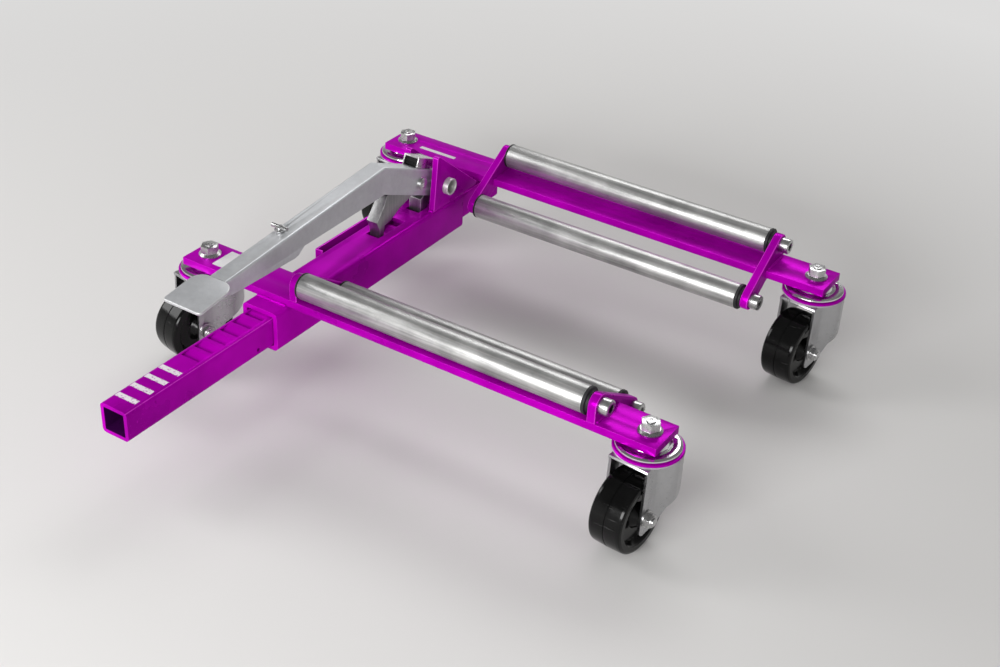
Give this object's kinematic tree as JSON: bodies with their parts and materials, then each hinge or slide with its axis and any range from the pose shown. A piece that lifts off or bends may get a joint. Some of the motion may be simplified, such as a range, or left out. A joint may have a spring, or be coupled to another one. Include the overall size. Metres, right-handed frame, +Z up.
{
  "type": "vehicle positioning jack",
  "caption": "Foot-pumped jack frame that closes two pairs of rollers under a tyre, lifts it off the floor and carries it on swivel casters",
  "frame": {"origin": "bottom centre of the bounding box: on the floor, midway in X and Y", "axes": "+X along the arms away from the side tube, +Y along the side tube from the foot plate's end to the rear arm, +Z up"},
  "size_m": [0.691, 0.7172, 0.2146],
  "materials": {
    "purple_paint": "glossy magenta purple powder coat",
    "pedal_silver": "bright zinc plated pressed steel",
    "zinc_steel": "bright zinc plate",
    "roller_zinc": "bright zinc plated tube",
    "fork_steel": "bright plated pressed steel",
    "race_steel": "bright plated pressing",
    "pawl_steel": "machined hardened steel",
    "spring_steel": "drawn spring wire",
    "black_plastic": "black moulded end caps",
    "black_rubber": "black rubber buffer",
    "wheel_black": "glossy black solid wheel"
  },
  "bodies": {
    "front_frame": {"outer_tube": "purple_paint", "front_bar": "purple_paint", "front_bracket_left": "purple_paint", "front_bracket_right": "purple_paint", "pedal_gusset_left": "purple_paint", "pedal_gusset_right": "purple_paint", "pivot_tube": "zinc_steel", "pivot_spacer": "zinc_steel", "pedal_spring": "spring_steel", "side_channel": "purple_paint", "front_swivel_races": "race_steel", "front_kingpins": "zinc_steel", "front_upper_axle": "zinc_steel", "front_lower_axle": "zinc_steel"},
    "rear_frame": {"sliding_tube": "purple_paint", "rear_bar": "purple_paint", "rear_spacer_pad": "purple_paint", "rear_bracket_left": "purple_paint", "rear_bracket_right": "purple_paint", "rear_swivel_races": "race_steel", "rear_kingpins": "zinc_steel", "rear_upper_axle": "zinc_steel", "rear_lower_axle": "zinc_steel"},
    "front_upper_roll": {"front_upper_roller": "roller_zinc", "front_upper_caps": "black_plastic"},
    "front_lower_roll": {"front_lower_roller": "roller_zinc", "front_lower_caps": "black_plastic"},
    "rear_upper_roll": {"rear_upper_roller": "roller_zinc", "rear_upper_caps": "black_plastic"},
    "rear_lower_roll": {"rear_lower_roller": "roller_zinc", "rear_lower_caps": "black_plastic"},
    "pedal": {"pedal_arm": "pedal_silver", "foot_plate": "pedal_silver", "stop_box": "zinc_steel", "stop_rubber": "black_rubber", "pawl_bolt": "zinc_steel"},
    "pull_pin": {"lock_pin": "zinc_steel"},
    "driving_pawl": {"drive_pawl": "pawl_steel"},
    "catch_pawl": {"holding_pawl": "pawl_steel"},
    "caster_front_left": {"fork_front_left": "fork_steel", "ring_front_left": "purple_paint", "wheel_bolt_front_left": "zinc_steel"},
    "tyre_front_left": {"wheel_front_left": "wheel_black"},
    "caster_front_right": {"fork_front_right": "fork_steel", "ring_front_right": "purple_paint", "wheel_bolt_front_right": "zinc_steel"},
    "tyre_front_right": {"wheel_front_right": "wheel_black"},
    "caster_rear_left": {"fork_rear_left": "fork_steel", "ring_rear_left": "purple_paint", "wheel_bolt_rear_left": "zinc_steel"},
    "tyre_rear_left": {"wheel_rear_left": "wheel_black"},
    "caster_rear_right": {"fork_rear_right": "fork_steel", "ring_rear_right": "purple_paint", "wheel_bolt_rear_right": "zinc_steel"},
    "tyre_rear_right": {"wheel_rear_right": "wheel_black"}
  },
  "joints": [
    {"name": "frame_slide", "type": "slide", "parent": "front_frame", "child": "rear_frame", "axis": [0, 1, 0], "range_m": [0, 0.21]},
    {"name": "pedal_hinge", "type": "hinge", "parent": "front_frame", "child": "pedal", "pos_m": [-0.1895, 0.21495, 0.14725], "axis": [-1, 0, 0], "range_deg": [0, 35]},
    {"name": "drive_pawl_hinge", "type": "hinge", "parent": "pedal", "child": "driving_pawl", "pos_m": [-0.1895, 0.17335, 0.16345], "axis": [-1, 0, 0], "range_deg": [-52, 0]},
    {"name": "holding_pawl_hinge", "type": "hinge", "parent": "front_frame", "child": "catch_pawl", "pos_m": [-0.1895, 0.21495, 0.14725], "axis": [-1, 0, 0], "range_deg": [-3, 20]},
    {"name": "lock_pin_slide", "type": "slide", "parent": "pedal", "child": "pull_pin", "axis": [0, -0.0822, 0.9966], "range_m": [0, 0.012]},
    {"name": "front_upper_roller_spin", "type": "hinge", "parent": "front_frame", "child": "front_upper_roll", "pos_m": [0.0387, -0.09115, 0.14745], "axis": [1, 0, 0], "continuous": true},
    {"name": "front_lower_roller_spin", "type": "hinge", "parent": "front_frame", "child": "front_lower_roll", "pos_m": [0.0387, -0.01885, 0.10245], "axis": [1, 0, 0], "continuous": true},
    {"name": "rear_upper_roller_spin", "type": "hinge", "parent": "rear_frame", "child": "rear_upper_roll", "pos_m": [0.0468, 0.33305, 0.14995], "axis": [1, 0, 0], "continuous": true},
    {"name": "rear_lower_roller_spin", "type": "hinge", "parent": "rear_frame", "child": "rear_lower_roll", "pos_m": [0.0468, 0.26075, 0.10495], "axis": [1, 0, 0], "continuous": true},
    {"name": "front_left_swivel", "type": "hinge", "parent": "front_frame", "child": "caster_front_left", "pos_m": [-0.307, -0.07825, 0.11195], "axis": [0, 0, 1], "continuous": true},
    {"name": "front_left_wheel_spin", "type": "hinge", "parent": "caster_front_left", "child": "tyre_front_left", "pos_m": [-0.31311, -0.10701, 0.04445], "axis": [0.9781, -0.2079, 0], "continuous": true},
    {"name": "front_right_swivel", "type": "hinge", "parent": "front_frame", "child": "caster_front_right", "pos_m": [0.296, -0.07825, 0.11195], "axis": [0, 0, 1], "continuous": true},
    {"name": "front_right_wheel_spin", "type": "hinge", "parent": "caster_front_right", "child": "tyre_front_right", "pos_m": [0.29344, -0.10754, 0.04445], "axis": [0.9962, -0.0872, 0], "continuous": true},
    {"name": "rear_left_swivel", "type": "hinge", "parent": "rear_frame", "child": "caster_rear_left", "pos_m": [-0.304, 0.32015, 0.11195], "axis": [0, 0, 1], "continuous": true},
    {"name": "rear_left_wheel_spin", "type": "hinge", "parent": "caster_rear_left", "child": "tyre_rear_left", "pos_m": [-0.30809, 0.29104, 0.04445], "axis": [0.9903, -0.1392, 0], "continuous": true},
    {"name": "rear_right_swivel", "type": "hinge", "parent": "rear_frame", "child": "caster_rear_right", "pos_m": [0.307, 0.32015, 0.11195], "axis": [0, 0, 1], "continuous": true},
    {"name": "rear_right_wheel_spin", "type": "hinge", "parent": "caster_rear_right", "child": "tyre_rear_right", "pos_m": [0.30342, 0.29097, 0.04445], "axis": [0.9925, -0.1219, 0], "continuous": true}
  ],
  "couplings": [
    {"joint": "drive_pawl_hinge", "follows": "pedal_hinge", "ratio": -1.48}
  ]
}
